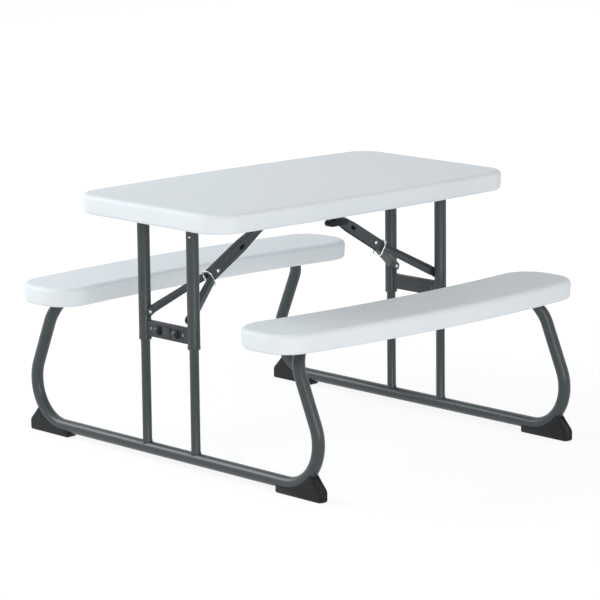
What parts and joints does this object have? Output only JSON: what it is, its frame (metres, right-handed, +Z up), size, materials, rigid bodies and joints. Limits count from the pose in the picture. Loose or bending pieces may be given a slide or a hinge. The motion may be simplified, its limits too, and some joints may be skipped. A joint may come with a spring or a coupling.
{
  "type": "kids picnic table",
  "caption": "Folding children's picnic table with a pale moulded top, two bowed benches and grey tubular end frames on black feet",
  "frame": {"origin": "on the floor under the middle of the table top", "axes": "+X along the table's length, +Y across it to the rear bench, +Z up"},
  "size_m": [0.834, 0.8788, 0.5294],
  "materials": {
    "pale_polyethylene": "blow-moulded polyethylene with a fine pebbled skin",
    "grey_powder_coat": "dark grey powder coat, satin",
    "black_plastic": "black moulded plastic",
    "zinc_plate": "bright zinc plate"
  },
  "bodies": {
    "table_top": {"table_top": "pale_polyethylene", "centre_bracket": "grey_powder_coat", "left_top_pivot_pin": "zinc_plate", "right_top_pivot_pin": "zinc_plate", "front_tube_clip": "black_plastic", "rear_tube_clip": "black_plastic", "left_front_hinge_saddle": "black_plastic", "left_rear_hinge_saddle": "black_plastic", "right_front_hinge_saddle": "black_plastic", "right_rear_hinge_saddle": "black_plastic"},
    "left_upper_frame": {"left_front_upper_tube": "grey_powder_coat", "left_rear_upper_tube": "grey_powder_coat", "left_hinge_axle": "grey_powder_coat", "left_latch_bar": "black_plastic", "left_front_latch_bolt": "zinc_plate", "left_rear_latch_bolt": "zinc_plate", "left_front_stay_rivet": "zinc_plate", "left_rear_stay_rivet": "zinc_plate"},
    "left_lower_frame": {"left_floor_tube": "grey_powder_coat", "left_front_lower_tube": "grey_powder_coat", "left_rear_lower_tube": "grey_powder_coat", "left_front_foot": "black_plastic", "left_rear_foot": "black_plastic"},
    "left_upper_arm": {"left_upper_arm": "grey_powder_coat", "left_middle_rivet": "zinc_plate"},
    "left_lock_ring": {"left_lock_ring": "zinc_plate"},
    "left_stays": {"left_front_stay": "grey_powder_coat", "left_rear_stay": "grey_powder_coat"},
    "left_front_latch": {"left_front_latch_slide": "black_plastic"},
    "left_rear_latch": {"left_rear_latch_slide": "black_plastic"},
    "right_upper_frame": {"right_front_upper_tube": "grey_powder_coat", "right_rear_upper_tube": "grey_powder_coat", "right_hinge_axle": "grey_powder_coat", "right_latch_bar": "black_plastic", "right_front_latch_bolt": "zinc_plate", "right_rear_latch_bolt": "zinc_plate", "right_front_stay_rivet": "zinc_plate", "right_rear_stay_rivet": "zinc_plate"},
    "right_lower_frame": {"right_floor_tube": "grey_powder_coat", "right_front_lower_tube": "grey_powder_coat", "right_rear_lower_tube": "grey_powder_coat", "right_front_foot": "black_plastic", "right_rear_foot": "black_plastic", "front_bench_right_hinge_pin": "zinc_plate", "rear_bench_right_hinge_pin": "zinc_plate"},
    "right_upper_arm": {"right_upper_arm": "grey_powder_coat", "right_middle_rivet": "zinc_plate"},
    "right_lock_ring": {"right_lock_ring": "zinc_plate"},
    "right_stays": {"right_front_stay": "grey_powder_coat", "right_rear_stay": "grey_powder_coat"},
    "right_front_latch": {"right_front_latch_slide": "black_plastic"},
    "right_rear_latch": {"right_rear_latch_slide": "black_plastic"},
    "front_bench": {"front_bench": "pale_polyethylene", "front_bench_left_hinge": "grey_powder_coat", "front_bench_right_hinge": "grey_powder_coat", "front_bench_left_hinge_pin": "zinc_plate"},
    "rear_bench": {"rear_bench": "pale_polyethylene", "rear_bench_left_hinge": "grey_powder_coat", "rear_bench_right_hinge": "grey_powder_coat", "rear_bench_left_hinge_pin": "zinc_plate"}
  },
  "joints": [
    {"name": "left_leg_fold", "type": "hinge", "parent": "table_top", "child": "left_upper_frame", "pos_m": [-0.31805, 0, 0.4982], "axis": [0, -1, 0], "range_deg": [0, 90]},
    {"name": "left_leg_telescope", "type": "slide", "parent": "left_upper_frame", "child": "left_lower_frame", "axis": [0, 0, 1], "range_m": [0, 0.207]},
    {"name": "left_upper_arm_swing", "type": "hinge", "parent": "table_top", "child": "left_upper_arm", "pos_m": [-0.02296, 0, 0.493], "axis": [0, 1, 0], "range_deg": [0, 31]},
    {"name": "left_stay_swing", "type": "hinge", "parent": "left_upper_frame", "child": "left_stays", "pos_m": [-0.345, 0, 0.2995], "axis": [0, -1, 0], "range_deg": [0, 49.3]},
    {"name": "left_lock_ring_slide", "type": "slide", "parent": "left_upper_arm", "child": "left_lock_ring", "axis": [0.8572, 0, 0.515], "range_m": [0, 0.076]},
    {"name": "left_front_latch_pinch", "type": "slide", "parent": "left_upper_frame", "child": "left_front_latch", "axis": [0, 1, 0], "range_m": [0, 0.005], "stiffness_N_per_m": 300},
    {"name": "left_rear_latch_pinch", "type": "slide", "parent": "left_upper_frame", "child": "left_rear_latch", "axis": [0, -1, 0], "range_m": [0, 0.005], "stiffness_N_per_m": 300},
    {"name": "right_leg_fold", "type": "hinge", "parent": "table_top", "child": "right_upper_frame", "pos_m": [0.31805, 0, 0.4982], "axis": [0, 1, 0], "range_deg": [0, 90]},
    {"name": "right_leg_telescope", "type": "slide", "parent": "right_upper_frame", "child": "right_lower_frame", "axis": [0, 0, 1], "range_m": [0, 0.207]},
    {"name": "right_upper_arm_swing", "type": "hinge", "parent": "table_top", "child": "right_upper_arm", "pos_m": [0.02296, 0, 0.493], "axis": [0, -1, 0], "range_deg": [0, 31]},
    {"name": "right_stay_swing", "type": "hinge", "parent": "right_upper_frame", "child": "right_stays", "pos_m": [0.345, 0, 0.2995], "axis": [0, 1, 0], "range_deg": [0, 49.3]},
    {"name": "right_lock_ring_slide", "type": "slide", "parent": "right_upper_arm", "child": "right_lock_ring", "axis": [-0.8572, 0, 0.515], "range_m": [0, 0.076]},
    {"name": "right_front_latch_pinch", "type": "slide", "parent": "right_upper_frame", "child": "right_front_latch", "axis": [0, 1, 0], "range_m": [0, 0.005], "stiffness_N_per_m": 300},
    {"name": "right_rear_latch_pinch", "type": "slide", "parent": "right_upper_frame", "child": "right_rear_latch", "axis": [0, -1, 0], "range_m": [0, 0.005], "stiffness_N_per_m": 300},
    {"name": "front_bench_swivel", "type": "hinge", "parent": "left_lower_frame", "child": "front_bench", "pos_m": [-0.31805, -0.35335, 0.2912], "axis": [0, 1, 0], "range_deg": [0, 90]},
    {"name": "rear_bench_swivel", "type": "hinge", "parent": "left_lower_frame", "child": "rear_bench", "pos_m": [-0.31805, 0.35335, 0.2912], "axis": [0, 1, 0], "range_deg": [0, 90]}
  ],
  "couplings": [
    {"joint": "left_rear_latch_pinch", "follows": "left_front_latch_pinch", "ratio": 1},
    {"joint": "right_rear_latch_pinch", "follows": "right_front_latch_pinch", "ratio": 1},
    {"joint": "right_leg_fold", "follows": "left_leg_fold", "ratio": 1},
    {"joint": "left_leg_telescope", "follows": "left_leg_fold", "m_per_rad": 0.13178},
    {"joint": "left_upper_arm_swing", "follows": "left_leg_fold", "ratio": 0.3444},
    {"joint": "left_stay_swing", "follows": "left_leg_fold", "ratio": 0.5477},
    {"joint": "right_leg_telescope", "follows": "left_leg_fold", "m_per_rad": 0.13178},
    {"joint": "right_upper_arm_swing", "follows": "left_leg_fold", "ratio": 0.3444},
    {"joint": "right_stay_swing", "follows": "left_leg_fold", "ratio": 0.5477},
    {"joint": "front_bench_swivel", "follows": "left_leg_fold", "ratio": 1},
    {"joint": "rear_bench_swivel", "follows": "left_leg_fold", "ratio": 1}
  ]
}
